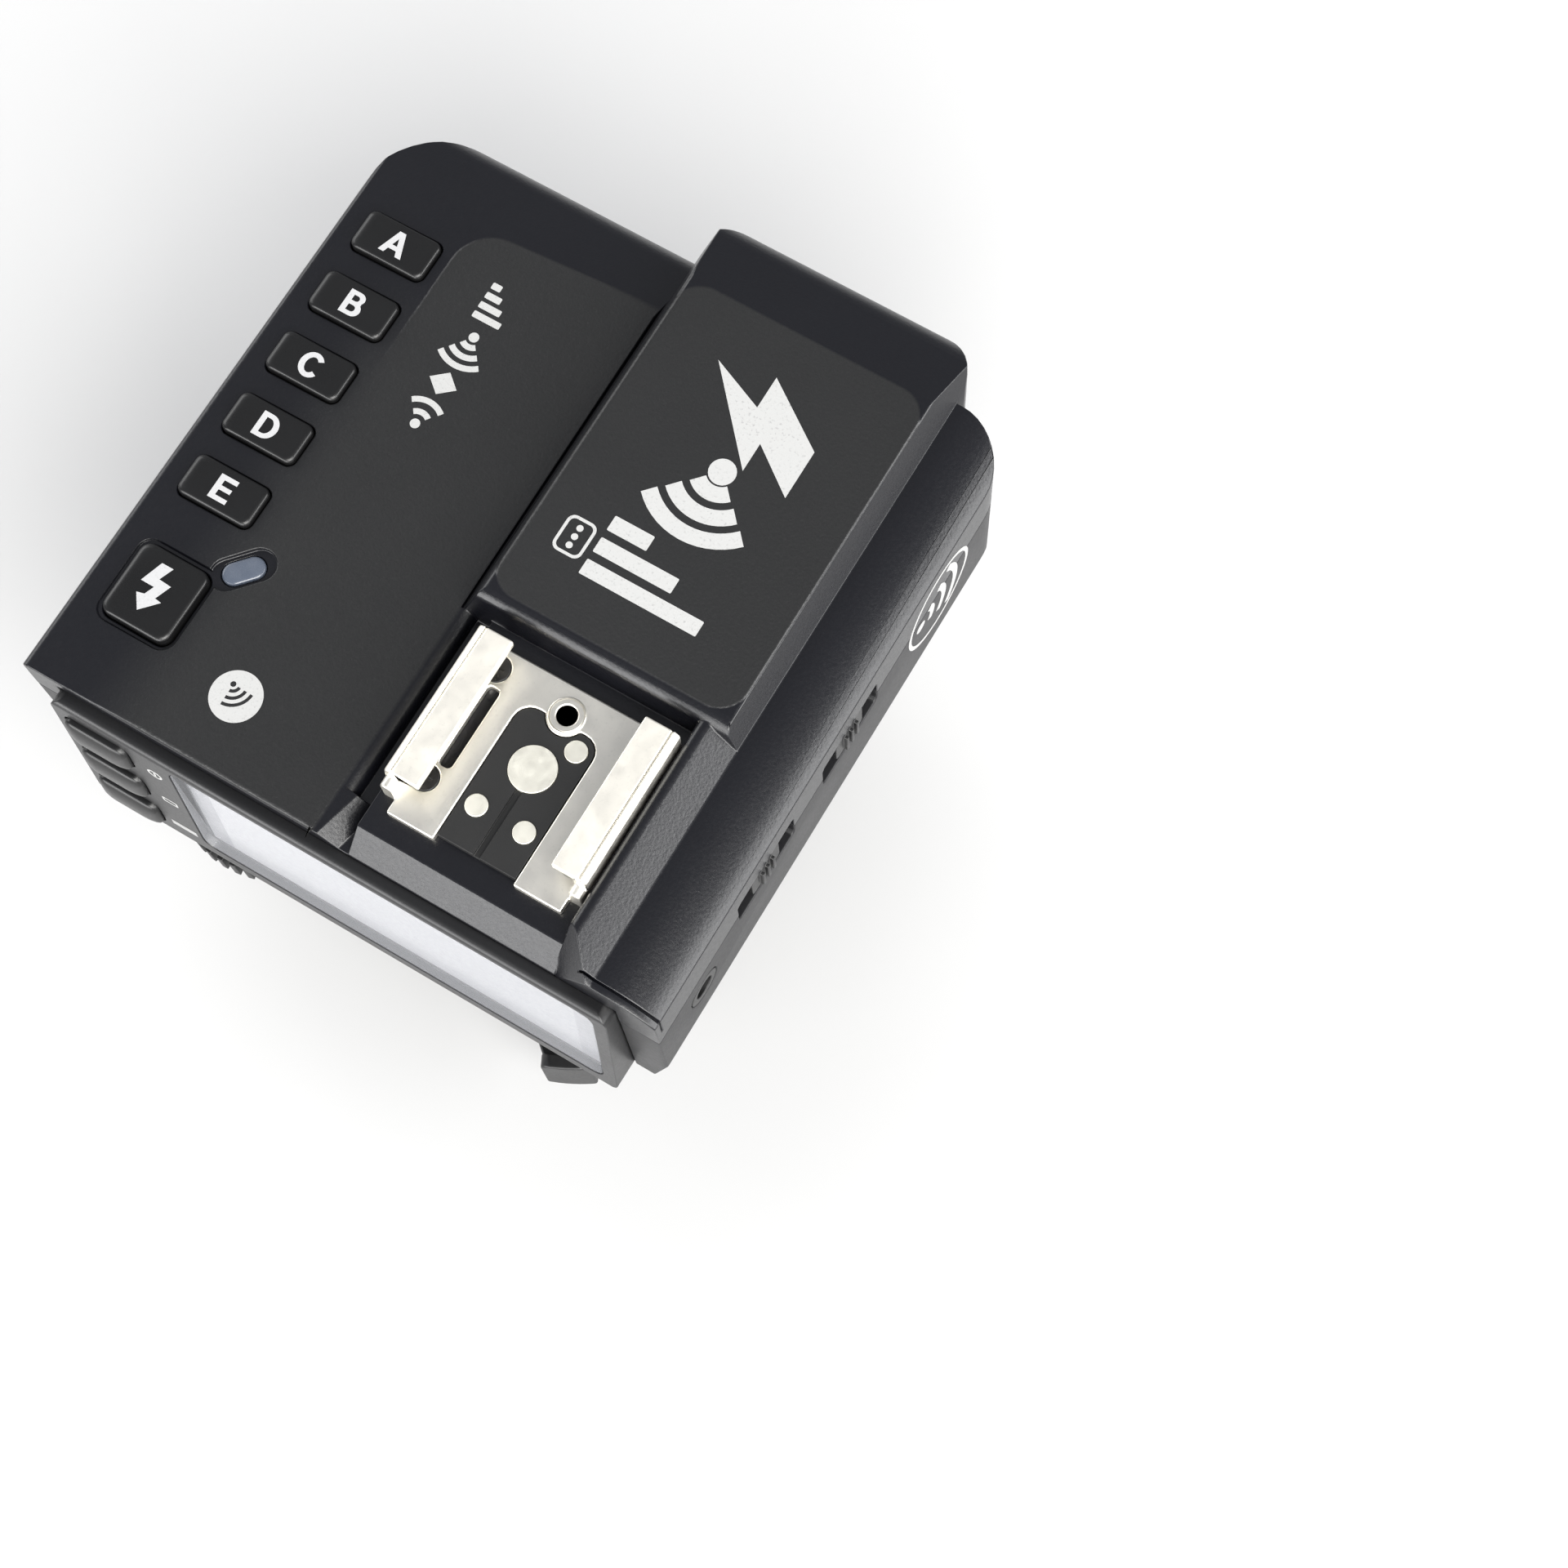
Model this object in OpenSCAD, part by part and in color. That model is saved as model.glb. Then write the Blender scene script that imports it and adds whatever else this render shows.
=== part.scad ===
// Wireless flash trigger that slides into a camera's accessory shoe and carries a shoe of its own.
// Millimetres. Origin: underside of the foot plate, below the shoe's centre contact.
// +X is to the right seen from behind the camera, +Y towards the subject, +Z up.

/* [Body] */
// Distance from the foot's axis to the left wall
body_left = 48; // [46:0.5:52]
// Distance from the foot's axis to the right wall
body_right = 22; // [21.5:0.5:24]
// Distance from the foot's axis back to the ears beside the display
body_rear = 14.8; // [14.6:0.1:15.2]
// Distance from the foot's axis to the front of the deck
deck_front = 53.7; // [53:0.1:55]
// Distance from the foot's axis to the front of the raised block
block_front = 56.8; // [56:0.1:59]
// Height of the deck
deck_top = 52.5; // [52.3:0.1:52.7]
// Height of the raised block
block_top = 57.5; // [57:0.1:58]
// Height of the line between the two shells
parting_z = 46.6; // [46.4:0.1:46.8]
// Height of the underside of the battery bay
bay_bottom = 20; // [19:0.1:20.2]
// Height of the underside above the foot
belly_bottom = 16; // [15.6:0.1:16.2]
// Wall thickness of the shells
wall = 1.8; // [1.6:0.1:2]
// Plan radius of the front left corner
corner_r = 9.5; // [7:0.5:10]

/* [Display] */
// Backward tilt of the display's foot, in degrees
display_tilt = 4; // [2:0.5:5]
// Width of the visible display
lcd_w = 45.7; // [44:0.1:46]
// Height of the visible display
lcd_h = 18.5; // [17:0.1:19]

/* [Accessory shoe] */
// Inside width of the shoe
slot_w = 18.8; // [18.7:0.05:18.9]
// Gap between the lips
lip_gap = 14.2; // [13:0.1:14.6]
// Height of the shoe's floor
shoe_floor = 54.5; // [54.4:0.1:54.6]
// Thickness of the shoe's sheet
sheet = 1; // [0.9:0.05:1]

/* [Controls] */
// Width of a group button
group_w = 8.3; // [8:0.1:8.6]
// Depth of a group button
group_d = 4.5; // [4:0.1:5]
// Spacing of the group buttons
group_pitch = 7.53; // [7.3:0.01:7.6]
// Radius of the thumb wheel
wheel_r = 12; // [11.6:0.1:12]
// Number of teeth on the thumb wheel
wheel_teeth = 50; // [36:1:60]

/* [Foot] */
// Width of the foot plate
foot_w = 18.6; // [18.4:0.05:18.6]
// Length of the foot plate
foot_l = 18; // [17:0.1:18]
// Thickness of the foot plate
foot_t = 2; // [1.9:0.05:2]

/* [Batteries] */
// Diameter of a cell
cell_d = 14.5; // [13.5:0.1:14.5]
// Length of a cell
cell_l = 50.5; // [49.2:0.1:50.5]

/* [Hidden] */
$fn = 48;

gap = 0.15;                               // clearance round parts that lift out or slide
// Casing
groove_x = -13.35;                        // right edge of the deck beside the shoe
plinth_z = shoe_floor - sheet;            // seat of the shoe
block_rear = 10.6;
flank_x = 15.35;                          // crease between the block's right slope and the flank
flank_z = 54.7;
flank_r = 10.1;
shoulder_r = 1.6;                         // roll of the deck's edge beside the shoe
ridge_x = 12.3;                           // crest beside the shoe
ridge_z = 56.9;
ceiling = deck_top - 1.9;                 // inside of the deck
roll_r = 3.2;                             // radius of the front edges
// Display
display_at = [0, -16.4, 49.5];
bezel_x = [-44.4, 17.5];
bezel_z = [-21.9, 1.0];
bezel_depth = 3.2;
lcd_x = -30.4;
lcd_top = -0.7;
menu_x = [-43.2, -36.0];
menu_h = 4.6;
menu_z = [for (i = [0:2]) -3.7 - 7.3 * i];
// Deck buttons, from the front of the deck backwards
group_x = -41;
group_y = [for (i = [0:4]) 39.25 - group_pitch * i];
test_box = [-44.5, -6.8, -36.9, 1.3];
button_top = deck_top + 0.6;
button_foot = ceiling - 0.7;
lens_at = [-34.7, 3.6];
lens_turn = 48;
// Side wall
knob_z = 47;
knob_y = [4.3, 19.6];                     // power switch, focus-assist switch
recess_l = 10;
recess_h = 4.2;
recess_floor = body_right - 1.1;
jack_at = [body_right, -7.4, 42.3];
jack_bore_r = 1.27;
// Wheel
wheel_at = [-30.3, -6];
wheel_z = [23, 26];
axle_r = 1.5;
// Batteries
cell_x = -45.8;
cell_y = [20.9, 35.6];
cell_z = 30.2;
door_y = [11, 45.5];
door_top = 39.5;
hinge_at = [-body_left + 0.8, 25.5];      // x and z of the door's hinge
hinge_r = 0.45;
// Foot
pin_at = [0, 5.92];
contact_at = [[0, 0], [2.55, 3.4], [-2.6, -5.5], [2.56, -5.5]];
shoe_contact_r = [2.32, 1.1, 1.1, 1.1];
foot_contact_r = [1.1, 0.75, 0.75, 0.75];
neck_r = 9.45;
lever_z = [4.95, 6.95];
lever_turn = -62.5;                       // where the finger tab stands when locked
lever_reach = 19;
tab_w = 5.4;
foot_screw_at = [for (x = [-1, 1], y = [-1, 1]) [5.25 * x, 6.5 * y]];
// Screws
case_screw_at = [[-40, 47.5], [9, 48.5], [14.3, 3], [-15.2, -7.5]];
case_screw_z = [bay_bottom, 18.5, belly_bottom, bay_bottom];
boss_top = [51.2, 55.8, 51.2, 50.5];      // end of each screw boss in the upper shell
shoe_screw_at = [[-8.1, 6.6], [8.1, 6.6], [-8.1, -5.6], [8.1, -5.6]];

// ---- helpers ----

function arc(c, r, a0, a1, n = 10) =
    [for (i = [0:n]) c + r * [cos(a0 + (a1 - a0) * i / n), sin(a0 + (a1 - a0) * i / n)]];

module slab(z0, z1) translate([0, 0, z0]) linear_extrude(z1 - z0) children();
module along_x(x0, x1) translate([x0, 0, 0]) rotate([90, 0, 90]) linear_extrude(x1 - x0) children();
module along_y(y0, y1) translate([0, y1, 0]) rotate([90, 0, 0]) linear_extrude(y1 - y0) children();
module box(lo, hi) translate(lo) cube(hi - lo);
module rod(at, r, z0, z1) translate([at.x, at.y, z0]) cylinder(r = r, h = z1 - z0);
module in_display() translate(display_at) rotate([-display_tilt, 0, 0]) children();

// Rectangle from corner to corner with round corners
module soft_rect(x0, y0, x1, y1, r)
    polygon(concat(arc([x0 + r, y0 + r], r, 180, 270, 5), arc([x1 - r, y0 + r], r, 270, 360, 5),
        arc([x1 - r, y1 - r], r, 0, 90, 5), arc([x0 + r, y1 - r], r, 90, 180, 5)));

// Capsule of length l and width w along its own x
module capsule(l, w)
    polygon(concat(arc([l / 2 - w / 2, 0], w / 2, -90, 90, 12), arc([w / 2 - l / 2, 0], w / 2, 90, 270, 12)));

// ---- casing outlines ----

module deck_plan(inset = 0, front_extra = 0)
    polygon(concat([[-body_left + inset, -body_rear + inset], [-12, -body_rear + inset],
        [-12, deck_front - inset - front_extra]],
        arc([corner_r - body_left, deck_front - corner_r - front_extra], corner_r - inset, 90, 180)));

module block_plan(inset = 0)
    polygon(concat([[inset - 15, -body_rear + inset], [15.5 - inset, -body_rear + inset]],
        arc([10, block_front - 5.5], 5.5 - inset, 0, 90),
        arc([-9.5, block_front - 5.5], 5.5 - inset, 90, 180)));

module flank_plan(inset = 0)
    polygon(concat([[10, -body_rear + inset], [body_right - inset, -body_rear + inset]],
        arc([body_right - 6, 45], 6 - inset, 0, 90), [[10, 51 - inset]]));

module body_plan(inset = 0) {
    deck_plan(inset);
    block_plan(inset);
    flank_plan(inset);
}

// Everything beyond a plane through a point; the plane faces along a heading, tilted from upright
module beyond(at, heading, tilt)
    translate(at) rotate([0, tilt, heading]) translate([-10, -10, 0]) cube([20, 20, 9]);

module left_wing() beyond([-13.3, -10.2, deck_top], -13.6, 36.9);
module right_wing() beyond([11, -11.1, 56], -127.6, 62.6);

module deck_solid()
    difference() {
        union() {
            deck_block();
            box([-15.1, -body_rear, parting_z], [-11.6, -9.8, deck_top]);
        }
        left_wing();
    }

module deck_block()
    intersection() {
        slab(parting_z, deck_top) deck_plan();
        along_y(-20, 60) polygon(concat([[-body_left, parting_z]],
            arc([0.8 - body_left, deck_top - 1.2], 0.8, 180, 90, 4),
            [[-35.5, deck_top]],
            arc([groove_x - shoulder_r, deck_top - shoulder_r], shoulder_r, 90, 0, 6), [[groove_x, parting_z]]));
        along_x(-60, 0) polygon(concat([[-body_rear, parting_z]],
            arc([0.5 - body_rear, deck_top - 0.5], 0.5, 180, 90, 4), [[45.2, deck_top]],
            arc([deck_front - roll_r, deck_top - 4.3], roll_r, 75, 0, 7), [[deck_front, parting_z]]));
    }

module block_solid()
    intersection() {
        slab(parting_z, block_top) block_plan();
        along_y(block_rear, 60) polygon(concat([[-14.9, parting_z], [-14.57, deck_top]],
            arc([-12, block_top - 1], 1, 160, 90, 4), arc([13.7, block_top - 0.4], 0.4, 90, 30, 3),
            [[flank_x, flank_z], [flank_x, parting_z]]));
        along_x(-20, 20) polygon(concat([[block_rear, parting_z], [block_rear, plinth_z]],
            arc([block_rear + 1.9, block_top - 1.6], 1.6, 160, 90, 5), [[48.5, block_top]],
            arc([block_front - roll_r, block_top - 4.5], roll_r, 75, 0, 7), [[block_front, parting_z]]));
    }

module flank_section(inset = 0)
    polygon(concat([[11, parting_z], [11, flank_z - inset], [flank_x, flank_z - inset]],
        arc([flank_x, flank_z - flank_r], flank_r - inset, 90, 48.8), [[body_right - inset, parting_z]]));

// The rolled right side, with the slope that rises from its crease to the crest beside the shoe
module flank_solid()
    difference() {
        union() {
            intersection() {
                slab(parting_z, block_top) flank_plan();
                along_y(-body_rear, 60) flank_section();
            }
            along_y(-body_rear, block_rear + 1) polygon(concat([[11.05, parting_z], [11.05, ridge_z - 0.9]],
                arc([ridge_x - 0.35, ridge_z - 0.9], 0.9, 180, 56, 5), [[flank_x, flank_z], [flank_x, parting_z]]));
        }
        right_wing();
    }

// Shallow joint line round the right ear
module ear_line()
    difference() {
        box([flank_x - 1.6, -14.05, 49], [body_right + 1, -13.87, 60]);
        along_y(-15, -13) flank_section(0.3);
    }

// The seat of the shoe, the gutter left of it and the ramp behind it
module shoe_seat_solid() {
    along_x(-11.3, 11.2) polygon([[-body_rear, parting_z], [-body_rear, 51], [-12.4, plinth_z],
        [block_rear + 1, plinth_z], [block_rear + 1, parting_z]]);
    box([groove_x - 1, -body_rear, parting_z], [-11, block_rear + 1, 51]);
}

module cover_cavity() {
    slab(parting_z - 1, ceiling) intersection() {
        deck_plan(wall, 1.8);
        translate([-body_left, -20]) square([body_left - 16.4, 80]);
    }
    slab(parting_z - 1, 49.2) translate([-17, wall - body_rear]) square([6, 25.4]);
    slab(parting_z - 1, 51.6) translate([-11.1, wall - body_rear]) square([22.4, 25.4]);
    slab(parting_z - 1, 55.4) soft_rect(-12.4, 12.4, 13, 52.6, 2);
    slab(parting_z - 1, 50.4) intersection() {
        flank_plan(wall);
        translate([11.2, -20]) square([12, 80]);
    }
}

// What both shells leave open for the display bezel
module bezel_opening()
    in_display() box([bezel_x[0] - 0.1, -3, bezel_z[0] - 0.1], [bezel_x[1] + 0.1, 5, bezel_z[1] + 0.1]);

// Recess, and the slot behind it, for each slide switch in the right wall
module switch_recess(y) {
    along_x(recess_floor, body_right + 1)
        soft_rect(y - recess_l / 2, knob_z - recess_h / 2, y + recess_l / 2, knob_z + recess_h / 2, 0.6);
    box([body_right - 3, y - 4.2, knob_z - 0.8], [body_right, y + 1.4, knob_z + 0.8]);
}

module test_pocket(grow, r)
    soft_rect(test_box[0] - grow, test_box[1] - grow, test_box[2] + grow, test_box[3] + grow, r);

module cover_boss(i)
    difference() {
        rod(case_screw_at[i], 2.2, parting_z, boss_top[i]);
        rod(case_screw_at[i], 0.95, parting_z - 1, 49);
    }

module top_cover() color("#222327") {
    difference() {
        union() {
            deck_solid();
            block_solid();
            flank_solid();
            shoe_seat_solid();
        }
        cover_cavity();
        bezel_opening();
        // joint lines: along the block's foot, and round the right ear
        box([-14.95, block_rear, deck_top - 0.5], [-14.5, 50, deck_top + 1]);
        ear_line();
        // deck buttons
        for (y = group_y)
            slab(ceiling - 1, deck_top + 1) soft_rect(group_x - group_w / 2 - gap, y - group_d / 2 - gap,
                group_x + group_w / 2 + gap, y + group_d / 2 + gap, 0.9);
        slab(ceiling - 1, deck_top + 1) test_pocket(gap, 1.2);
        slab(deck_top - 0.5, deck_top + 1) test_pocket(0.6, 1.5);
        translate([lens_at.x - 0.2, lens_at.y - 0.2]) rotate(lens_turn) {
            slab(deck_top - 0.5, deck_top + 1) capsule(6.6, 3.4);
            slab(ceiling - 1, deck_top + 1) capsule(4.3 + gap, 2.4 + gap);
        }
        for (y = knob_y) switch_recess(y);
        for (p = shoe_screw_at) rod(p, 0.9, 50, 60);
    }
    for (i = [0:3]) cover_boss(i);
}

// ---- lower shell ----

module case_solid(inset = 0) {
    top = parting_z + inset;
    intersection() {
        slab(belly_bottom - 1, top) body_plan(inset);
        along_y(-30, 70) polygon(concat([[inset - body_left, top]],
            arc([4 - body_left, bay_bottom + 4], 4 - inset, 180, 270, 6),
            [[-15 + inset / 2, bay_bottom + inset], [-13 + inset / 2, belly_bottom + inset],
            [16.8 - inset, belly_bottom + inset], [body_right - inset, 36.5], [body_right - inset, top]]));
        along_x(-60, 40) polygon([[inset - 15.2, top], [inset - 15.2, 30], [inset - 11.5, belly_bottom + inset],
            [46 - inset, belly_bottom + inset], [51 - inset, bay_bottom + inset], [block_front - inset, 32],
            [block_front - inset, top]]);
    }
}

module case_boss(i)
    rod(case_screw_at[i], 2.2, case_screw_z[i] + 0.5, parting_z);

module bottom_case() color("#25262a")
    difference() {
        union() {
            difference() {
                case_solid();
                case_solid(wall);
            }
            for (i = [0:3]) case_boss(i);
        }
        bezel_opening();
        for (i = [0:3]) {
            rod(case_screw_at[i], 1.1, belly_bottom - 1, parting_z + 1);
            rod(case_screw_at[i], 2, belly_bottom - 1, case_screw_z[i] + 2.2);
        }
        rod(wheel_at, wheel_r + 0.4, wheel_z[0] - 0.3, wheel_z[1] + 0.3);
        box([-body_left - 1, door_y[0] - gap, hinge_at[1] - 0.95], [-body_left + 3, door_y[1] + gap, door_top + gap]);
        translate([hinge_at[0], door_y[1] + 1.5, hinge_at[1]]) rotate([90, 0, 0])
            cylinder(r = hinge_r + 0.02, h = door_y[1] - door_y[0] + 3);
        along_y(50, 60) soft_rect(-9, 34, 9, 44, 2);
        along_x(-body_left - 1, -body_left + 3) soft_rect(-4.6, 36.9, 4.6, 40.3, 1.6);
        for (y = knob_y) switch_recess(y);
        translate(jack_at - [5, 0, 0]) rotate([0, 90, 0]) cylinder(r = 2.2, h = 6);
        for (p = foot_screw_at) rod(p, 0.85, belly_bottom - 1, belly_bottom + 3);
    }

// ---- display ----

module display_bezel() color("#2b2c30") in_display()
    difference() {
        intersection() {
            along_x(bezel_x[0], bezel_x[1]) polygon(concat([[bezel_depth, bezel_z[0]], [bezel_depth, bezel_z[1]]],
                arc([0.8, bezel_z[1] - 0.8], 0.8, 90, 180, 5), arc([0.4, bezel_z[0] + 0.4], 0.4, 180, 270, 3)));
            along_y(-5, 10) soft_rect(bezel_x[0], bezel_z[0], bezel_x[1], bezel_z[1], 1.4);
        }
        along_y(-1, 0.95) soft_rect(lcd_x - 0.7, lcd_top - lcd_h - 0.7, lcd_x + lcd_w + 0.7, lcd_top + 0.5, 1.6);
        box([lcd_x - 0.2, 0, lcd_top - lcd_h - 0.2], [lcd_x + lcd_w + 0.2, 5, lcd_top + 0.2]);
        for (z = menu_z)
            along_y(-1, 5) soft_rect(menu_x[0] - gap, z - menu_h / 2 - gap, menu_x[1] + gap, z + menu_h / 2 + gap, 1.2);
    }

module display_window() color("#dfe3ee") in_display()
    along_y(0.1, 0.9)
        soft_rect(lcd_x - 0.6, lcd_top - lcd_h - 0.6, lcd_x + lcd_w + 0.6, lcd_top + 0.4, 1.5);

module lcd_module() color("#cfd2e0") in_display()
    box([lcd_x, 1, lcd_top - lcd_h], [lcd_x + lcd_w, 3, lcd_top]);

module display_board() color("darkgreen") in_display()
    box([-43.8, bezel_depth + 0.05, -20.6], [16.9, bezel_depth + 1.05, 0.6]);

module menu_switches() color("dimgray") in_display()
    for (z = menu_z) {
        box([-42.4, 2.6, z - 1.7], [-36.8, bezel_depth, z + 1.7]);
        translate([-39.6, 2.6, z]) rotate([90, 0, 0]) cylinder(r = 1, h = 0.25);
    }

module menu_button(i) color("#2a2b2f") in_display()
    translate([0, 0, menu_z[i]]) intersection() {
        along_y(-3, 1.6) soft_rect(menu_x[0], -menu_h / 2, menu_x[1], menu_h / 2, 1.1);
        along_x(menu_x[0], menu_x[1])
            polygon(concat([[1.6, menu_h / 2]], arc([2.39, 0], 3.39, 137, 223, 9), [[1.6, -menu_h / 2]]));
    }
module menu_button_1() menu_button(0);
module menu_button_2() menu_button(1);
module menu_button_3() menu_button(2);

// ---- deck buttons ----

// Button with a chamfered top edge and a flange below the deck
module key(x0, y0, x1, y1, r) {
    slab(button_foot, ceiling - 0.05) soft_rect(x0 - 0.5, y0 - 0.5, x1 + 0.5, y1 + 0.5, r);
    slab(button_foot, button_top - 0.35) soft_rect(x0, y0, x1, y1, r);
    slab(button_top - 0.4, button_top - 0.15) soft_rect(x0 + 0.12, y0 + 0.12, x1 - 0.12, y1 - 0.12, r);
    slab(button_top - 0.2, button_top) soft_rect(x0 + 0.4, y0 + 0.4, x1 - 0.4, y1 - 0.4, r);
}

module group_button(i) color("#1b1c1f")
    translate([group_x, group_y[i], 0]) key(-group_w / 2, -group_d / 2, group_w / 2, group_d / 2, 0.8);
module button_a() group_button(0);
module button_b() group_button(1);
module button_c() group_button(2);
module button_d() group_button(3);
module button_e() group_button(4);

module test_button() color("#1b1c1f") key(test_box[0], test_box[1], test_box[2], test_box[3], 1);

module status_lens() color("#8e9db5")
    translate([lens_at.x - 0.2, lens_at.y - 0.2]) rotate(lens_turn) slab(48.9, deck_top - 0.2) capsule(4.3, 2.4);

module keypad_mat() color("gray")
    difference() {
        slab(47.8, 48.8) soft_rect(-45.9, -8.4, -34, 43, 1);
        translate([lens_at.x - 0.2, lens_at.y - 0.2]) rotate(lens_turn) slab(47, 50) capsule(5, 3);
    }

module keypad_board() color("darkgreen") slab(46.75, 47.75) soft_rect(-45.9, -9, -32, 43.5, 1);

// ---- electronics ----

module main_board() color("darkgreen")
    difference() {
        slab(40.5, 42) soft_rect(-44, -9.5, 15.5, 49, 1);
        for (p = case_screw_at) rod(p, 2.5, 40, 43);
        box([11.8, -12, 40], [20, -3.8, 43]);
        box([-50, 43, 40], [-42, 52, 43]);
    }

module radio_module() color("silver") box([-12, 20, 42.05], [4, 40, 44.6]);
module antenna() color("goldenrod") box([6, 18, 42.05], [7, 44, 50]);
module buzzer() color("black") rod([-24, 44], 4.5, 42.05, 45);
module side_switches() color("dimgray")
    for (y = knob_y) box([16.7, y - 4.5, 44.3], [19.1, y + 4.5, 49.6]);

module slide_knob(y) color("#1a1b1d") {
    along_x(recess_floor + 0.1, body_right - 0.1) soft_rect(y - 2.4, knob_z - 1.8, y + 2.4, knob_z + 1.8, 0.5);
    for (dy = [-0.9, 0, 0.9])
        box([recess_floor + 0.2, y + dy - 0.2, knob_z - 1.5], [body_right + 0.35, y + dy + 0.2, knob_z + 1.5]);
    box([19.2, y - 0.7, knob_z - 0.65], [recess_floor + 0.2, y + 0.7, knob_z + 0.65]);
}
module power_switch_knob() slide_knob(knob_y[0]);
module af_switch_knob() slide_knob(knob_y[1]);

module sync_jack() color("#111111")
    difference() {
        union() {
            box([12.6, jack_at.y - 2.9, jack_at.z - 2.9], [body_right - wall - 0.1, jack_at.y + 2.9, jack_at.z + 2.9]);
            translate([13, jack_at.y, jack_at.z]) rotate([0, 90, 0]) cylinder(r = 2.1, h = body_right - 13);
        }
        translate([13.5, jack_at.y, jack_at.z]) rotate([0, 90, 0]) cylinder(r = jack_bore_r, h = 10);
    }

module usb_port() color("silver")
    difference() {
        along_x(-body_left + 0.3, -body_left + 7.6) soft_rect(-4.47, 37.05, 4.47, 40.15, 1.5);
        along_x(-body_left, -body_left + 6.8) soft_rect(-4.15, 37.35, 4.15, 39.85, 1.2);
    }

module af_window() color("darkred") along_y(block_front - 1.7, block_front - 0.1) soft_rect(-8.9, 34.1, 8.9, 43.9, 1.9);

module af_lamp() color("white") {
    box([-3, 49.5, 36], [3, 51, 42]);
    translate([0, 51, 39]) rotate([-90, 0, 0]) cylinder(r = 2.4, h = 1.6);
    translate([0, 52.6, 39]) sphere(r = 2.4);
}

// ---- accessory shoe on top ----

module shoe_side() {
    along_y(-7.5, 8.7) polygon(concat([[slot_w / 2 - 0.5, plinth_z], [10.8, plinth_z]],
        arc([10.1, 57.3], 0.7, 0, 90, 6), [[lip_gap / 2, 58], [lip_gap / 2, 57], [slot_w / 2, 57],
        [slot_w / 2, shoe_floor]]));
    // lower curled end of the wall
    along_y(-8.7, -7.4) polygon(concat([[slot_w / 2 - 0.5, plinth_z], [10.8, plinth_z]],
        arc([10.1, 55.9], 0.7, 0, 180, 8), [[slot_w / 2, shoe_floor]]));
}

module shoe_plate() color("#d9d6cb")
    difference() {
        union() {
            slab(plinth_z, shoe_floor) translate([-slot_w / 2, -10.2]) square([slot_w, 18.95]);
            shoe_side();
            mirror([1, 0, 0]) shoe_side();
            rod(pin_at, 1.7, plinth_z, shoe_floor + 0.15);
        }
        difference() {
            slab(plinth_z - 1, shoe_floor + 0.6) {
                translate([-4.3, -12]) square([8.6, 14.5]);
                soft_rect(-4.3, -2, 4.3, 5.2, 1.8);
            }
            rod(pin_at, 2, plinth_z - 2, shoe_floor + 1);
        }
        rod(pin_at, 1, plinth_z - 1, shoe_floor + 1);
        for (p = shoe_screw_at) {
            rod(p, 0.9, plinth_z - 1, shoe_floor + 1);
            rod(p, 1.35, shoe_floor - 0.45, shoe_floor + 1);
        }
        // relief slot in the floor under the edge of each lip
        for (s = [-1, 1]) slab(plinth_z - 1, shoe_floor + 1) soft_rect(7.2 * s - 0.65, -3.9, 7.2 * s + 0.65, 4.9, 0.5);
        // fold line on top of each lip
        for (s = [-1, 1]) box([10.02 * s - 0.05, -9, 57.8], [10.02 * s + 0.05, 10, 59]);
    }

module shoe_springs() color("#cfccc0")
    for (s = [-1, 1])
        translate([s * 8.35, 0, 0]) along_x(-0.7, 0.7)
            polygon(concat(arc([0, 97.15], 41, 260.5, 279.5, 12), arc([0, 97.15], 40.75, 279.5, 260.5, 12)));

module shoe_insulator() color("#141416")
    difference() {
        slab(plinth_z, shoe_floor - 0.12) {
            translate([-4.2, -9.6]) square([8.4, 12]);
            soft_rect(-4.2, -2, 4.2, 5.1, 1.7);
        }
        rod(pin_at, 2.1, plinth_z - 1, shoe_floor + 1);
        for (i = [0:3]) rod(contact_at[i], shoe_contact_r[i] + 0.05, plinth_z + 0.3, shoe_floor + 1);
        box([-0.35, -12, shoe_floor - 0.5], [0.35, 0, shoe_floor + 1]);
    }

module shoe_contacts() color("#e6e0cc")
    for (i = [0:3]) rod(contact_at[i], shoe_contact_r[i], plinth_z + 0.35, shoe_floor);

module shoe_screws() color("silver")
    for (p = shoe_screw_at)
        difference() {
            union() {
                rod(p, 0.85, 51.8, shoe_floor - 0.3);
                rod(p, 1.3, shoe_floor - 0.42, shoe_floor - 0.05);
            }
            box([p.x - 0.7, p.y - 0.15, shoe_floor - 0.3], [p.x + 0.7, p.y + 0.15, shoe_floor + 1]);
        }

// ---- thumb wheel ----

module select_wheel() color("#1d1e21")
    difference() {
        rod(wheel_at, wheel_r, wheel_z[0], wheel_z[1]);
        rod(wheel_at, axle_r + 0.05, 0, 60);
        translate([wheel_at.x, wheel_at.y, 0]) for (i = [0:wheel_teeth - 1])
            rotate(i * 360 / wheel_teeth) box([wheel_r - 0.75, -0.38, 0], [wheel_r + 1, 0.38, 60]);
    }

module wheel_axle() color("silver") {
    rod(wheel_at, axle_r, bay_bottom + wall, wheel_z[1] + 0.2);
    rod(wheel_at, 2.4, wheel_z[1] + 0.15, wheel_z[1] + 0.7);
}

module wheel_encoder() color("dimgray")
    box([wheel_at.x - 3.5, wheel_at.y - 3.5, wheel_z[1] + 0.75], [wheel_at.x + 3.5, wheel_at.y + 3.5, 31]);

// ---- batteries ----

module cell(y, flip) translate([cell_x, y, cell_z]) rotate([0, 90, 0]) translate([0, 0, flip ? 0 : 1]) {
    cylinder(r = cell_d / 2, h = cell_l - 1);
    translate([0, 0, flip ? cell_l - 1.5 : -1]) cylinder(r = 2.7, h = 1.5);
}

module aa_cells() color("peru") {
    cell(cell_y[0], false);
    cell(cell_y[1], true);
}

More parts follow.
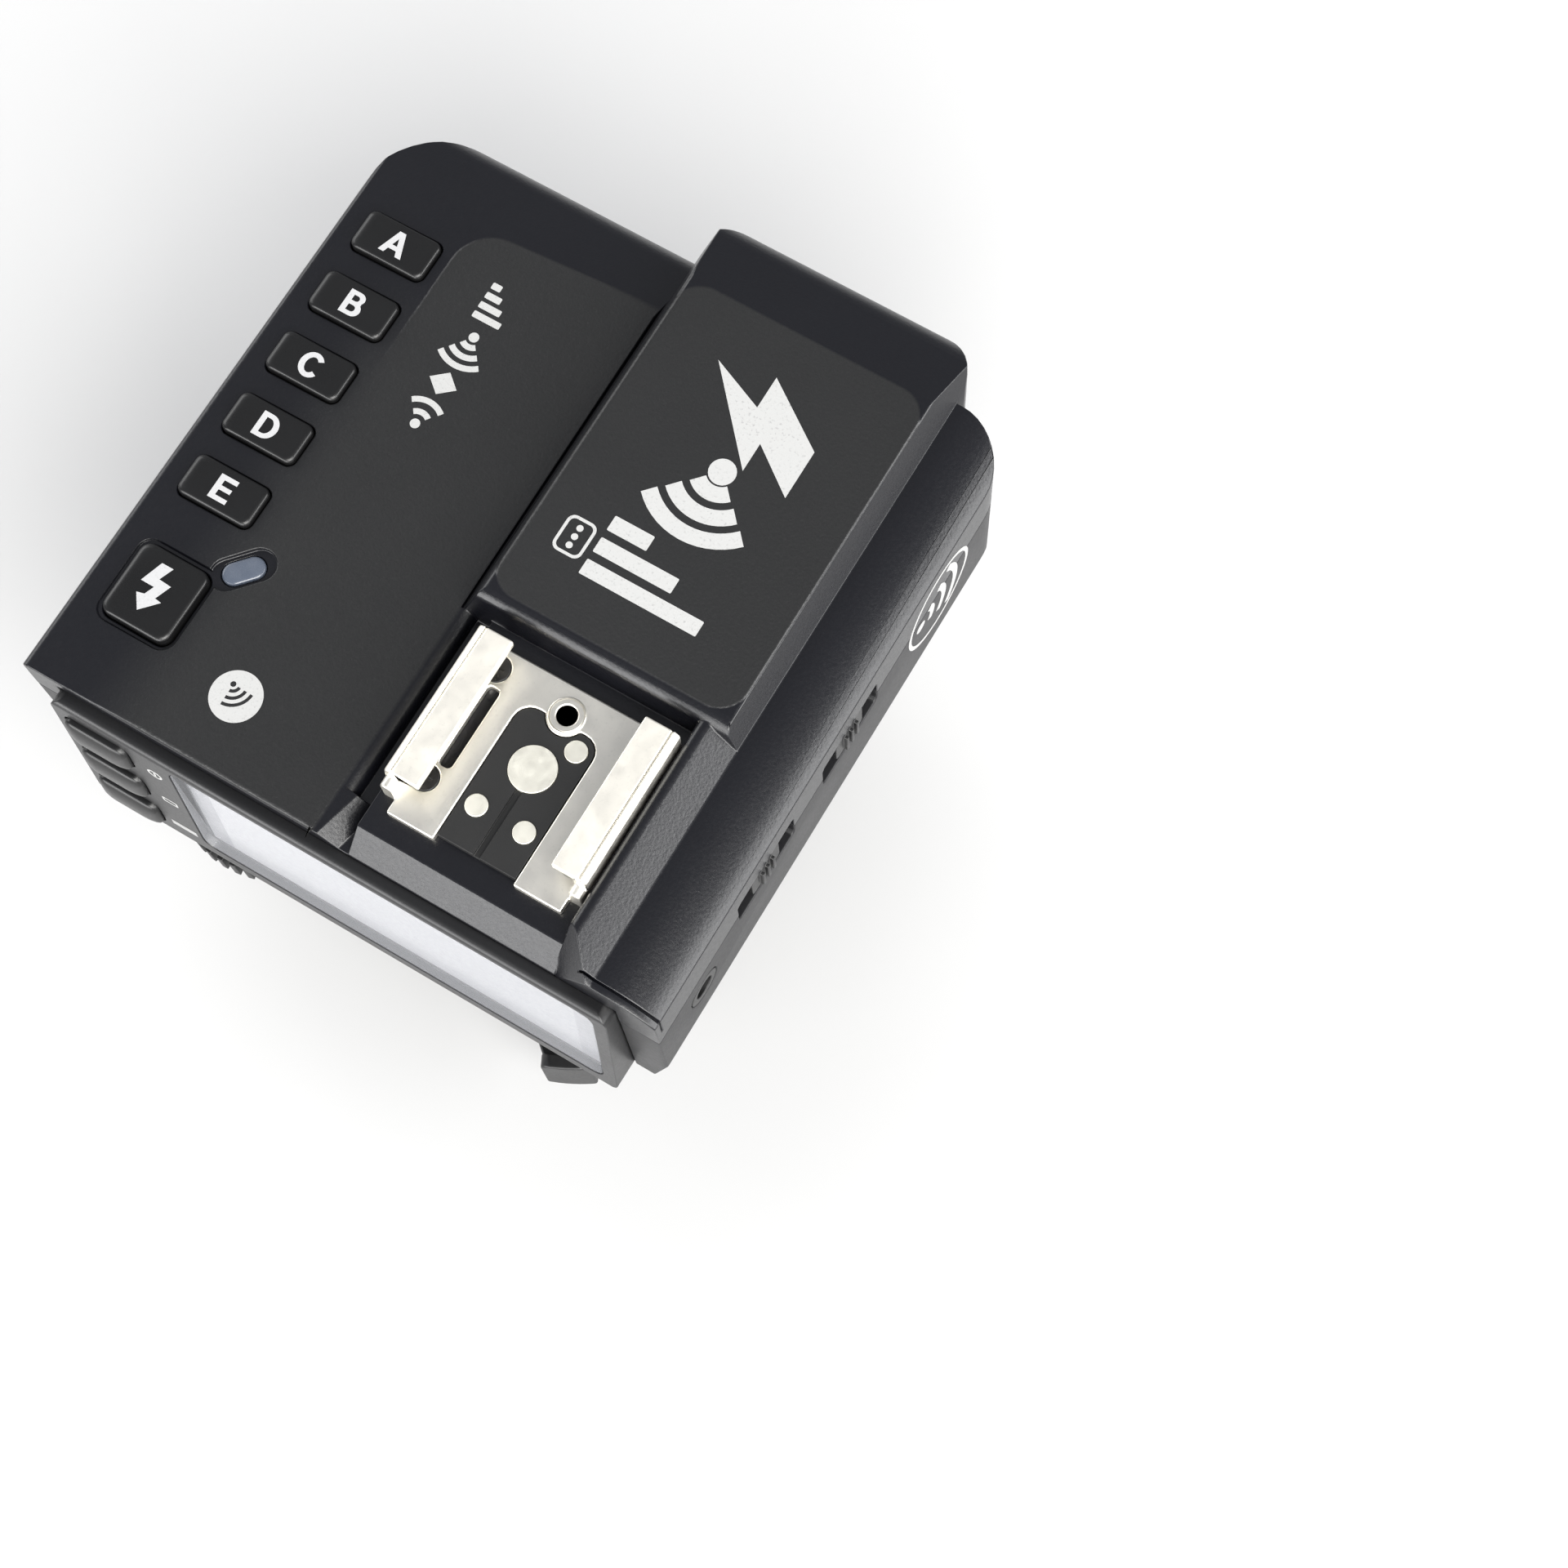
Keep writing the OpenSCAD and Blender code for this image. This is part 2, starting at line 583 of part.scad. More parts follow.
module battery_tray() color("#303136")
    difference() {
        box([-43.9, 13, bay_bottom + wall], [4, 43.5, 25.5]);
        for (y = cell_y) translate([-50, y, cell_z]) rotate([0, 90, 0]) cylinder(r = cell_d / 2 + 0.1, h = 60);
    }

module battery_springs() color("silver")
    for (y = cell_y, i = [0:3])
        translate([cell_x + cell_l + 0.6 + 0.65 * i, y, cell_z]) rotate([0, 90, 0])
            rotate_extrude() translate([2 + 0.45 * i, 0]) circle(r = 0.42);

module battery_contacts() color("silver")
    for (y = cell_y) box([cell_x + cell_l + 3, y - 5.5, cell_z - 5.5], [cell_x + cell_l + 3.5, y + 5.5, cell_z + 5.5]);

module battery_door() color("#25262a")
    difference() {
        union() {
            box([-body_left, door_y[0], hinge_at[1]], [-body_left + 1.6, door_y[1], door_top]);
            translate([hinge_at[0], door_y[1], hinge_at[1]]) rotate([90, 0, 0])
                cylinder(r = 0.8, h = door_y[1] - door_y[0]);
        }
        translate([hinge_at[0], 0, hinge_at[1]]) rotate([90, 0, 0]) cylinder(r = hinge_r + 0.05, h = 120, center = true);
        // finger grooves
        for (i = [0:3]) box([-body_left - 1, 22, 34 + 1.2 * i], [-body_left + 0.4, 34.5, 34.6 + 1.2 * i]);
    }

module door_contact() color("silver")
    box([-body_left + 1.6, 15, 27.5], [-body_left + 1.9, 41.5, 34]);

module door_pin() color("silver")
    translate([hinge_at[0], door_y[1] + 1.4, hinge_at[1]]) rotate([90, 0, 0])
        cylinder(r = hinge_r, h = door_y[1] - door_y[0] + 2.8);

// ---- foot ----

module foot_block() color("#1a1b1e")
    difference() {
        union() {
            slab(7.1, belly_bottom) soft_rect(-12, -11, 12, 13, 3);
            rod([0, 0], neck_r, 4.4, 7.2);
            box([-6.2, -8.4, foot_t], [6.2, 8.4, 4.4]);
        }
        for (i = [0:3]) rod(contact_at[i], foot_contact_r[i] + 0.25, 0, 9);
        rod(pin_at, 1.25, 0, 12);
        for (p = foot_screw_at) rod(p, 0.75, 0, belly_bottom + 1);
    }

module lever_collar() color("#2a2b2e")
    difference() {
        rod([0, 0], 11.2, 4.4, 4.85);
        rod([0, 0], neck_r + 0.01, 0, 9);
    }

module foot_plate() color("#c9c9c6")
    difference() {
        slab(0, foot_t) soft_rect(-foot_w / 2, -foot_l / 2, foot_w / 2, foot_l / 2, 0.8);
        slab(-1, foot_t + 1) soft_rect(-3.8, -7.6, 3.8, 7.8, 1);
        for (p = foot_screw_at) {
            rod(p, 0.75, -1, foot_t + 1);
            rod(p, 1.25, -1, 0.7);
        }
    }

module foot_insulator() color("#111111")
    difference() {
        slab(0, foot_t) soft_rect(-3.75, -7.55, 3.75, 7.75, 0.95);
        for (i = [0:3]) rod(contact_at[i], foot_contact_r[i] + 0.06, -1, 9);
        rod(pin_at, 1.06, -1, 9);
    }

module foot_contacts() color("gold")
    for (i = [0:3]) {
        rod(contact_at[i], foot_contact_r[i], 0, 7.8);
        translate([contact_at[i].x, contact_at[i].y, 0]) intersection() {
            sphere(r = foot_contact_r[i]);
            rod([0, 0], 2, -0.5, 0.1);
        }
    }

module lock_pin() color("silver") rod(pin_at, 1, -1.2, 9.5);

module lock_lever() color("#37383c")
    difference() {
        rotate(lever_turn) {
            slab(lever_z[0], lever_z[1]) polygon(concat(arc([0, 0], 13.2, 22, 338, 30),
                [[lever_reach - 1, -tab_w / 2 + 0.2], [lever_reach - 1, tab_w / 2 - 0.2]]));
            // finger tab at the end of the arm
            intersection() {
                slab(lever_z[0], 12.5) polygon(concat(arc([0, 0], lever_reach, -9, 9, 8),
                    arc([0, 0], lever_reach - 1.6, 9, -9, 8)));
                translate([0, 0, 8]) rotate([0, 90, 0]) slab(0, 30) soft_rect(-4.5, -tab_w / 2, 4, tab_w / 2, 1.2);
            }
        }
        rod([0, 0], neck_r + 0.06, 0, 20);
    }

// ---- screws ----

module case_screws() color("silver")
    for (i = [0:3])
        difference() {
            union() {
                rod(case_screw_at[i], 0.9, case_screw_z[i] + 1, 48.9);
                rod(case_screw_at[i], 1.8, case_screw_z[i] + 0.8, case_screw_z[i] + 2.15);
            }
            for (a = [0, 90]) translate([case_screw_at[i].x, case_screw_at[i].y, case_screw_z[i] + 1]) rotate(a)
                cube([2, 0.4, 1.2], center = true);
        }

module foot_screws() color("silver")
    for (p = foot_screw_at)
        difference() {
            union() {
                rod(p, 0.7, 0.3, 13);
                rod(p, 1.2, 0.08, 0.65);
            }
            for (a = [0, 90]) translate([p.x, p.y, 0.15]) rotate(a) cube([1.5, 0.35, 0.5], center = true);
        }

top_cover();
bottom_case();
display_bezel();
display_window();
lcd_module();
display_board();
menu_switches();
menu_button_1();
menu_button_2();
menu_button_3();
button_a();
button_b();
button_c();
button_d();
button_e();
test_button();
status_lens();
keypad_mat();
keypad_board();
main_board();
radio_module();
antenna();
buzzer();
shoe_plate();
shoe_springs();
shoe_insulator();
shoe_contacts();
shoe_screws();
select_wheel();
wheel_axle();
wheel_encoder();
power_switch_knob();
af_switch_knob();
side_switches();
sync_jack();
usb_port();
af_window();
af_lamp();
aa_cells();
battery_tray();
battery_springs();
battery_contacts();
battery_door();
door_contact();
door_pin();
foot_block();
foot_plate();
foot_insulator();
foot_contacts();
lock_pin();
lock_lever();
lever_collar();
case_screws();
foot_screws();
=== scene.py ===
"""Looks for the wireless flash trigger. Metres, in the frame of the CAD model:
+X right seen from behind the camera, +Y towards the subject, +Z up."""
import math

import bpy
from mathutils import Matrix, Vector


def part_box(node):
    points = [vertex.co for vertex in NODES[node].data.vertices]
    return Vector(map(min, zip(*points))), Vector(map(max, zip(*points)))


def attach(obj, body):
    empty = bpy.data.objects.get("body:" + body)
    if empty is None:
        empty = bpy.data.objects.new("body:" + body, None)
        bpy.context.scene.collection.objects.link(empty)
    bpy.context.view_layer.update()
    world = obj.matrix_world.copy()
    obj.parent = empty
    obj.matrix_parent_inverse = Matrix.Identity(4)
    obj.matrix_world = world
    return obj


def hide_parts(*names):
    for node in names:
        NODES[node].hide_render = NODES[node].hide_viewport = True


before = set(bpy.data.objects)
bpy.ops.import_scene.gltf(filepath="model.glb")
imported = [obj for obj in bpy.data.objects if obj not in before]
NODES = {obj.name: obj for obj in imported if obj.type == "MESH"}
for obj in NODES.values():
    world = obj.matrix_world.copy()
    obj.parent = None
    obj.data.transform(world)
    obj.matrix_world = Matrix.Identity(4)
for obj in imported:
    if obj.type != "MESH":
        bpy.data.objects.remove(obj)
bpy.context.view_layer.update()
MM = 0.001

# heights of the printed faces and the place of the display's middle, in millimetres
DECK_Z = 52.5
BLOCK_Z = 57.5
DISPLAY_MIDDLE = (-16.4, 49.5)
# the display leans back by this angle
TILT = math.radians(4)
# the menu keys are this far apart, the first this far below the display's middle
MENU_TOP = -3.7
MENU_PITCH = 7.3

RIGHT = (1, 0, 0)
FORWARD = (0, 1, 0)
BACKWARD = (0, -1, 0)
UP = (0, 0, 1)
DISPLAY_UP = (0, math.sin(TILT), math.cos(TILT))
DISPLAY_INWARD = (0, math.cos(TILT), -math.sin(TILT))


# ---------------------------------------------------------------- node helpers

class Shader:
    """One material and short calls that add and join its nodes."""

    def __init__(self, name):
        self.material = bpy.data.materials.new(name)
        self.material.use_nodes = True
        self.tree = self.material.node_tree
        self.bsdf = self.tree.nodes["Principled BSDF"]
        self.place = self.tree.nodes.new("ShaderNodeTexCoord").outputs["Object"]

    def link(self, source, target):
        self.tree.links.new(source, target)

    def math(self, operation, a, b=0.0):
        node = self.tree.nodes.new("ShaderNodeMath")
        node.operation = operation
        for socket, value in zip(node.inputs, (a, b)):
            if isinstance(value, (int, float)):
                socket.default_value = value
            else:
                self.link(value, socket)
        return node.outputs[0]

    def stretched(self, scale):
        """The place, scaled differently along each axis."""
        node = self.tree.nodes.new("ShaderNodeMapping")
        node.inputs["Scale"].default_value = scale
        self.link(self.place, node.inputs["Vector"])
        return node.outputs[0]

    def noise(self, size_mm, detail=2.0, rough=0.5, place=None, distortion=0.0):
        node = self.tree.nodes.new("ShaderNodeTexNoise")
        node.inputs["Scale"].default_value = 1.0 / (size_mm * MM)
        node.inputs["Detail"].default_value = detail
        node.inputs["Roughness"].default_value = rough
        node.inputs["Distortion"].default_value = distortion
        self.link(place or self.place, node.inputs["Vector"])
        return node.outputs["Fac"]

    def cells(self, size_mm, feature="F1"):
        node = self.tree.nodes.new("ShaderNodeTexVoronoi")
        node.feature = feature
        node.inputs["Scale"].default_value = 1.0 / (size_mm * MM)
        self.link(self.place, node.inputs["Vector"])
        return node.outputs["Distance"]

    def remap(self, value, low, high, to_low=0.0, to_high=1.0, smooth=False):
        node = self.tree.nodes.new("ShaderNodeMapRange")
        node.interpolation_type = "SMOOTHSTEP" if smooth else "LINEAR"
        node.clamp = True
        for socket, limit in zip(node.inputs[1:5], (low, high, to_low, to_high)):
            socket.default_value = limit
        self.link(value, node.inputs[0])
        return node.outputs[0]

    def mix(self, fac, a, b):
        """Colour a where fac is 0 and b where it is 1."""
        node = self.tree.nodes.new("ShaderNodeMix")
        node.data_type = "RGBA"
        self.link(fac, node.inputs["Factor"])
        for socket, value in zip((node.inputs[6], node.inputs[7]), (a, b)):
            if isinstance(value, (tuple, list)):
                socket.default_value = (*value[:3], 1.0)
            else:
                self.link(value, socket)
        return node.outputs[2]

    def axes(self):
        node = self.tree.nodes.new("ShaderNodeSeparateXYZ")
        self.link(self.place, node.inputs[0])
        return node.outputs[0:3]

    def relief(self, height):
        """Bumps the surface by a height in metres."""
        node = self.tree.nodes.new("ShaderNodeBump")
        node.inputs["Distance"].default_value = 1.0
        node.inputs["Strength"].default_value = 1.0
        self.link(height, node.inputs["Height"])
        self.link(node.outputs[0], self.bsdf.inputs["Normal"])

    def total(self, *terms):
        """The sum of its terms."""
        out = terms[0]
        for term in terms[1:]:
            out = self.math("ADD", out, term)
        return out

    def scaled(self, value, millimetres):
        """A height: the value times so many millimetres."""
        return self.math("MULTIPLY", value, millimetres * MM)

    def round_rect(self, u, v, low, high, radius_mm, soft_mm):
        """1 inside a rounded rectangle in millimetres of the two coordinates, 0 outside."""
        squares = []
        for value, a, b in ((u, low[0], high[0]), (v, low[1], high[1])):
            away = self.math("SUBTRACT", value, (a + b) / 2 * MM)
            past = self.math("SUBTRACT", self.math("ABSOLUTE", away), ((b - a) / 2 - radius_mm) * MM)
            outer = self.math("MAXIMUM", past, 0.0)
            squares.append(self.math("MULTIPLY", outer, outer))
        length = self.math("SQRT", self.total(*squares))
        faded = (radius_mm + soft_mm / 2) * MM
        full = (radius_mm - soft_mm / 2) * MM
        return self.remap(length, faded, full, smooth=True)

    def above(self, value, millimetres):
        """1 above a height, 0 below it, over a tenth of a millimetre."""
        return self.remap(value, (millimetres - 0.05) * MM, (millimetres + 0.05) * MM)

    def wave(self, value, pitch_mm):
        """A sine that repeats after so many millimetres."""
        return self.math("SINE", self.math("MULTIPLY", value, 2 * math.pi / (pitch_mm * MM)))

    def set(self, **values):
        names = {"metallic": "Metallic", "roughness": "Roughness", "ior": "IOR", "coat": "Coat Weight",
                 "coat_roughness": "Coat Roughness", "specular": "Specular IOR Level",
                 "transmission": "Transmission Weight", "alpha": "Alpha"}
        for name, value in values.items():
            self.bsdf.inputs[names[name]].default_value = value

    def paint(self, colour):
        self.link(colour, self.bsdf.inputs["Base Color"])

    def rough(self, value):
        self.link(value, self.bsdf.inputs["Roughness"])


def grey(level, blue=0.0):
    """A grey with its blue raised by a share."""
    return (level, level, level * (1 + blue))


def moulded(name, colour, rough=0.45, grain_mm=0.32, depth_mm=0.008, vary=0.12, specular=0.5):
    """Injection moulded plastic with a fine spark-eroded grain."""
    s = Shader(name)
    grain = s.noise(grain_mm, 3.0, 0.55)
    cloud = s.noise(9.0, 2.0)
    s.paint(s.mix(cloud, [c * (1 - vary) for c in colour], [c * (1 + vary) for c in colour]))
    s.rough(s.remap(s.total(s.math("MULTIPLY", grain, 0.5), s.math("MULTIPLY", cloud, 0.5)), 0.3, 0.7,
                    rough - 0.05, rough + 0.06))
    s.relief(s.scaled(grain, depth_mm))
    s.set(specular=specular)
    return s.material


def machined(name, colour, rough=0.25, streak=(60, 900, 900), depth_mm=0.002, stain=0.15, matt_above=None):
    """Plated or turned metal with streaks, handling marks and cloudy plating, duller above a height."""
    s = Shader(name)
    streaks = s.noise(1000.0, 4.0, 0.65, place=s.stretched(tuple(1000.0 * k for k in streak)))
    cloud = s.noise(2.2, 3.0, 0.6)
    marks = s.remap(s.noise(0.35, 4.0, 0.7, distortion=0.6), 0.56, 0.72)
    shade = s.mix(cloud, [c * (1 - stain) for c in colour], colour)
    s.paint(s.mix(s.math("MULTIPLY", marks, 0.35), shade, [c * 0.72 for c in colour]))
    polish = s.remap(s.total(s.math("MULTIPLY", streaks, 0.6), s.math("MULTIPLY", cloud, 0.4)), 0.3, 0.7,
                     rough - 0.07, rough + 0.12)
    if matt_above:
        polish = s.total(polish, s.math("MULTIPLY", s.above(s.axes()[2], matt_above), 0.16))
    s.rough(polish)
    s.relief(s.total(s.scaled(streaks, depth_mm), s.scaled(marks, -depth_mm * 0.6)))
    s.set(metallic=1.0)
    return s.material


# ---------------------------------------------------------------- materials

def cover_material():
    """Satin black shell with a coarser leather-like panel on its deck and on its block, a hair proud.

    The deck's panel has a crisp rounded corner in front and fades into the satin towards the rear.
    """
    s = Shader("cover_plastic")
    x, y, z = s.axes()
    panel_left = -35.5
    lean = s.math("MULTIPLY", s.math("ADD", x, -panel_left * MM), 0.08)
    crisp = s.round_rect(x, s.math("SUBTRACT", y, lean), (panel_left, -60), (-2, 44.9), 4.0, 0.3)
    faded = s.remap(x, -42.0 * MM, -32.5 * MM, smooth=True)
    rear = s.remap(y, 40 * MM, 24 * MM, smooth=True)
    front = s.math("SUBTRACT", 1.0, rear)
    deck = s.total(s.math("MULTIPLY", crisp, front), s.math("MULTIPLY", faded, rear))
    left_of_block = s.remap(x, -14.75 * MM, -15.1 * MM)
    deck = s.math("MULTIPLY", s.math("MULTIPLY", deck, s.above(z, DECK_Z - 0.2)), left_of_block)
    block = s.round_rect(x, y, (-12.7, 12.4), (13.9, 48.6), 3.0, 0.3)
    block = s.math("MULTIPLY", block, s.above(z, BLOCK_Z - 1.3))
    panel = s.math("MAXIMUM", deck, block)
    coarse = s.noise(0.34, 3.0, 0.65, distortion=0.4)
    pits = s.cells(0.30, "SMOOTH_F1")
    fine = s.noise(0.2, 2.0, 0.5)
    cloud = s.noise(11.0, 2.0)
    leather = s.total(s.scaled(coarse, 0.034), s.scaled(pits, 0.026))
    grain_share = s.remap(panel, 0, 1, 0.36, 1.0)
    height = s.total(s.math("MULTIPLY", leather, grain_share), s.scaled(fine, 0.006), s.scaled(panel, 0.05))
    satin = s.mix(cloud, (0.0018, 0.0019, 0.0034), (0.0028, 0.003, 0.0048))
    leathery = s.mix(cloud, (0.0078, 0.0079, 0.0081), (0.0098, 0.0099, 0.0101))
    s.paint(s.mix(panel, satin, leathery))
    s.rough(s.total(s.remap(panel, 0, 1, 0.31, 0.42), s.remap(coarse, 0.3, 0.7, -0.03, 0.04)))
    s.relief(height)
    s.set(specular=0.5)
    return s.material


def print_material(name, colour, speckle=0.5):
    """Screen printed ink over the grain, which shows through it as fine specks."""
    s = Shader(name)
    grain = s.noise(0.26, 3.0, 0.6, distortion=0.3)
    wear = s.noise(4.0, 2.0)
    specks = s.math("MULTIPLY", s.remap(grain, 0.58, 0.68), s.remap(wear, 0.3, 0.7, speckle * 0.5, speckle))
    s.paint(s.mix(specks, colour, [c * 0.42 for c in colour]))
    s.rough(s.remap(grain, 0.3, 0.7, 0.5, 0.62))
    s.relief(s.total(s.scaled(grain, 0.014), s.scaled(s.cells(0.3, "SMOOTH_F1"), 0.008)))
    return s.material


def contact_material():
    """Cream plated contacts, turned in rings about each centre."""
    s = Shader("contact_plating")
    x, y, z = s.axes()
    nearest = None
    for cx, cy in ((0, 0), (2.55, 3.4), (-2.6, -5.5), (2.56, -5.5)):
        dx = s.math("SUBTRACT", x, cx * MM)
        dy = s.math("SUBTRACT", y, cy * MM)
        away = s.math("SQRT", s.total(s.math("MULTIPLY", dx, dx), s.math("MULTIPLY", dy, dy)))
        nearest = away if nearest is None else s.math("MINIMUM", nearest, away)
    rings = s.wave(nearest, 0.16)
    cloud = s.noise(0.9, 3.0, 0.6)
    s.paint(s.mix(cloud, (0.95, 0.92, 0.81), (0.99, 0.98, 0.90)))
    s.rough(s.remap(cloud, 0.3, 0.7, 0.5, 0.6))
    s.relief(s.total(s.scaled(rings, 0.0012), s.scaled(s.noise(0.12, 3.0), 0.002)))
    s.set(metallic=1.0)
    return s.material


def lcd_material():
    """Pale reflective display: polariser film over a fine dot matrix, with a duller margin at each end. The
    film carries a painted shade, darker from left to right across the display.
    """
    s = Shader("display_glass_layer")
    x, y, z = s.axes()
    dot_pitch = 0.33
    dots = s.math("MULTIPLY", s.wave(x, dot_pitch), s.wave(z, dot_pitch))
    middle = s.round_rect(x, z, (-28.0, 20), (13.0, 60), 0.2, 0.15)
    # painted shade: the film's colour darkens from left to right, standing in for light falling off across
    # the display
    film = s.mix(s.remap(x, -22 * MM, 12 * MM), (0.240, 0.241, 0.250), (0.196, 0.197, 0.206))
    margin = s.mix(s.noise(5.0), (0.13, 0.131, 0.14), (0.15, 0.151, 0.16))
    face = s.mix(middle, margin, film)
    s.paint(s.mix(s.remap(dots, 0.2, 1.0, 0.0, 0.05), face, (0.18, 0.182, 0.20)))
    s.rough(s.remap(s.noise(0.5), 0.3, 0.7, 0.3, 0.38))
    s.set(coat=0.15, coat_roughness=0.06)
    return s.material


def red_window_material():
    """Deep red acrylic in front of the focus lamp."""
    tint = (0.42, 0.008, 0.012)
    s = Shader("focus_window")
    smear = s.noise(6.0, 3.0, 0.6)
    s.paint(s.mix(smear, tint, [min(1.0, c * 1.02) for c in tint]))
    s.rough(s.remap(smear, 0.3, 0.75, 0.08, 0.13))
    s.set(transmission=1.0, ior=1.49)
    return s.material


def window_material():
    """Clear acrylic that lets light straight through to the display, with faint wiping marks."""
    s = Shader("window_acrylic")
    smear = s.noise(6.0, 3.0, 0.6)
    s.paint(s.mix(smear, (0.75, 0.77, 0.82), (0.82, 0.83, 0.87)))
    s.rough(s.remap(smear, 0.3, 0.75, 0.05, 0.12))
    s.set(alpha=0.12)
    return s.material


def lens_material():
    """Smoky blue light guide of the status lamp."""
    s = Shader("lamp_lens")
    depth = s.noise(1.1, 2.0)
    s.paint(s.mix(depth, (0.048, 0.060, 0.084), (0.072, 0.084, 0.108)))
    s.rough(s.remap(s.noise(0.3), 0.3, 0.7, 0.22, 0.32))
    s.set(coat=0.4, coat_roughness=0.15)
    return s.material


def board_material():
    """Solder mask with buried traces and scattered pads."""
    s = Shader("circuit_board")
    traces = s.remap(s.cells(2.4, "DISTANCE_TO_EDGE"), 0.03, 0.05)
    pads = s.remap(s.cells(1.7), 0.16, 0.12)
    mask = s.mix(traces, (0.02, 0.13, 0.05), (0.012, 0.085, 0.035))
    s.paint(s.mix(pads, mask, (0.72, 0.60, 0.32)))
    s.rough(s.remap(s.noise(1.5), 0.3, 0.7, 0.3, 0.42))
    s.relief(s.scaled(traces, -0.02))
    return s.material


def cell_material():
    """Plain cell sleeve with a metal band at one end, and bare ends."""
    s = Shader("cell_sleeve")
    x = s.axes()[0]
    band = s.remap(x, -8.2 * MM, -8.1 * MM)
    ends = s.math("MAXIMUM", s.remap(x, -44.3 * MM, -44.4 * MM), s.remap(x, 4.0 * MM, 4.1 * MM))
    sleeve = s.mix(band, (0.03, 0.03, 0.034), (0.52, 0.27, 0.12))
    s.paint(s.mix(ends, sleeve, (0.72, 0.71, 0.68)))
    s.rough(s.remap(s.noise(2.0), 0.3, 0.7, 0.25, 0.38))
    s.set(metallic=0.5)
    return s.material


def lamp_material():
    """Frosted white lamp."""
    s = Shader("focus_lamp")
    frost = s.noise(0.4, 3.0)
    s.paint(s.mix(frost, (0.75, 0.74, 0.72), (0.92, 0.91, 0.88)))
    s.rough(s.remap(frost, 0.3, 0.7, 0.2, 0.4))
    s.set(coat=0.5, coat_roughness=0.1)
    return s.material


COVER = cover_material()
CASE = moulded("case_plastic", grey(0.005, 0.2), 0.46, 0.34, 0.009, specular=0.4)
BEZEL = moulded("bezel_plastic", grey(0.006, 0.1), 0.36, 0.3, 0.004)
KEY = moulded("key_plastic", grey(0.004, 0.05), 0.31, 0.2, 0.0012, specular=0.45)
BLACK = moulded("black_part", grey(0.006, 0.05), 0.42, 0.3, 0.006)
INSULATOR = moulded("shoe_block_plastic", grey(0.010), 0.5, 0.22, 0.009)
SILICONE = moulded("silicone_rubber", (0.16, 0.165, 0.17), 0.62, 0.5, 0.01)
WHEEL = moulded("wheel_rubber", grey(0.006, 0.05), 0.5, 0.3, 0.006)
NICKEL = machined("nickel_plating", (0.99, 0.96, 0.88), 0.38, (900, 60, 900), 0.0012, 0.08, 57.5)
BLACK_STEEL = machined("blackened_steel", (0.10, 0.10, 0.105), 0.3, (400, 400, 400))
SPRING = machined("spring_steel", (0.50, 0.49, 0.46), 0.24, (900, 60, 900), 0.0008)
STEEL = machined("bright_steel", (0.66, 0.65, 0.63), 0.28)
SHIELD = machined("tinned_sheet", (0.72, 0.72, 0.70), 0.36, (400, 400, 400))
GOLD = machined("gold_flash", (0.92, 0.70, 0.36), 0.24)
COPPER = machined("antenna_strip", (0.80, 0.52, 0.30), 0.34)
CONTACT = contact_material()
LCD = lcd_material()
WINDOW = window_material()
RED = red_window_material()
LENS = lens_material()
BOARD = board_material()
CELL = cell_material()
LAMP = lamp_material()
WHITE_INK = print_material("white_ink", (0.35, 0.35, 0.345))
KEY_INK = print_material("key_ink", (0.37, 0.37, 0.375), 0.25)

FINISH = {
    "top_cover": COVER, "bottom_case": CASE, "battery_door": CASE, "display_bezel": BEZEL,
    "display_window": WINDOW, "lcd_module": LCD, "display_board": BOARD, "keypad_board": BOARD,
    "main_board": BOARD, "menu_switches": BLACK, "menu_button_1": KEY, "menu_button_2": KEY,
    "menu_button_3": KEY, "button_a": KEY, "button_b": KEY, "button_c": KEY, "button_d": KEY,
    "button_e": KEY, "test_button": KEY, "status_lens": LENS, "keypad_mat": SILICONE,
    "radio_module": SHIELD, "antenna": COPPER, "buzzer": BLACK, "shoe_plate": NICKEL,
    "shoe_springs": SPRING, "shoe_insulator": INSULATOR, "shoe_contacts": CONTACT,
    "shoe_screws": BLACK_STEEL,
    "select_wheel": WHEEL, "wheel_axle": STEEL, "wheel_encoder": BLACK, "power_switch_knob": BLACK,
    "af_switch_knob": BLACK, "side_switches": BLACK, "sync_jack": BLACK, "usb_port": SHIELD,
    "af_window": RED, "af_lamp": LAMP, "aa_cells": CELL, "battery_tray": BLACK,
    "battery_springs": SHIELD, "battery_contacts": SHIELD, "door_contact": SHIELD, "door_pin": STEEL,
    "foot_block": BLACK, "foot_plate": STEEL, "foot_insulator": INSULATOR, "foot_contacts": GOLD,
    "lock_pin": STEEL, "lock_lever": BLACK, "lever_collar": BLACK, "case_screws": STEEL,
    "foot_screws": STEEL,
}
for name, node in NODES.items():
    for slot in node.material_slots:
        slot.material = FINISH[name]


# ---------------------------------------------------------------- edges

def even_normals():
    """Modifier group that shades every face smooth and drops the imported normals."""
    group = bpy.data.node_groups.new("even_normals", "GeometryNodeTree")
    group.interface.new_socket("Geometry", in_out="INPUT", socket_type="NodeSocketGeometry")
    group.interface.new_socket("Geometry", in_out="OUTPUT", socket_type="NodeSocketGeometry")
    start = group.nodes.new("NodeGroupInput")
    end = group.nodes.new("NodeGroupOutput")
    clear = group.nodes.new("GeometryNodeSetMeshNormal")
    clear.mode = "SHARPNESS"
    clear.inputs["Remove Custom"].default_value = True
    group.links.new(start.outputs[0], clear.inputs["Mesh"])
    group.links.new(clear.outputs[0], end.inputs[0])
    return group


EVEN = even_normals()


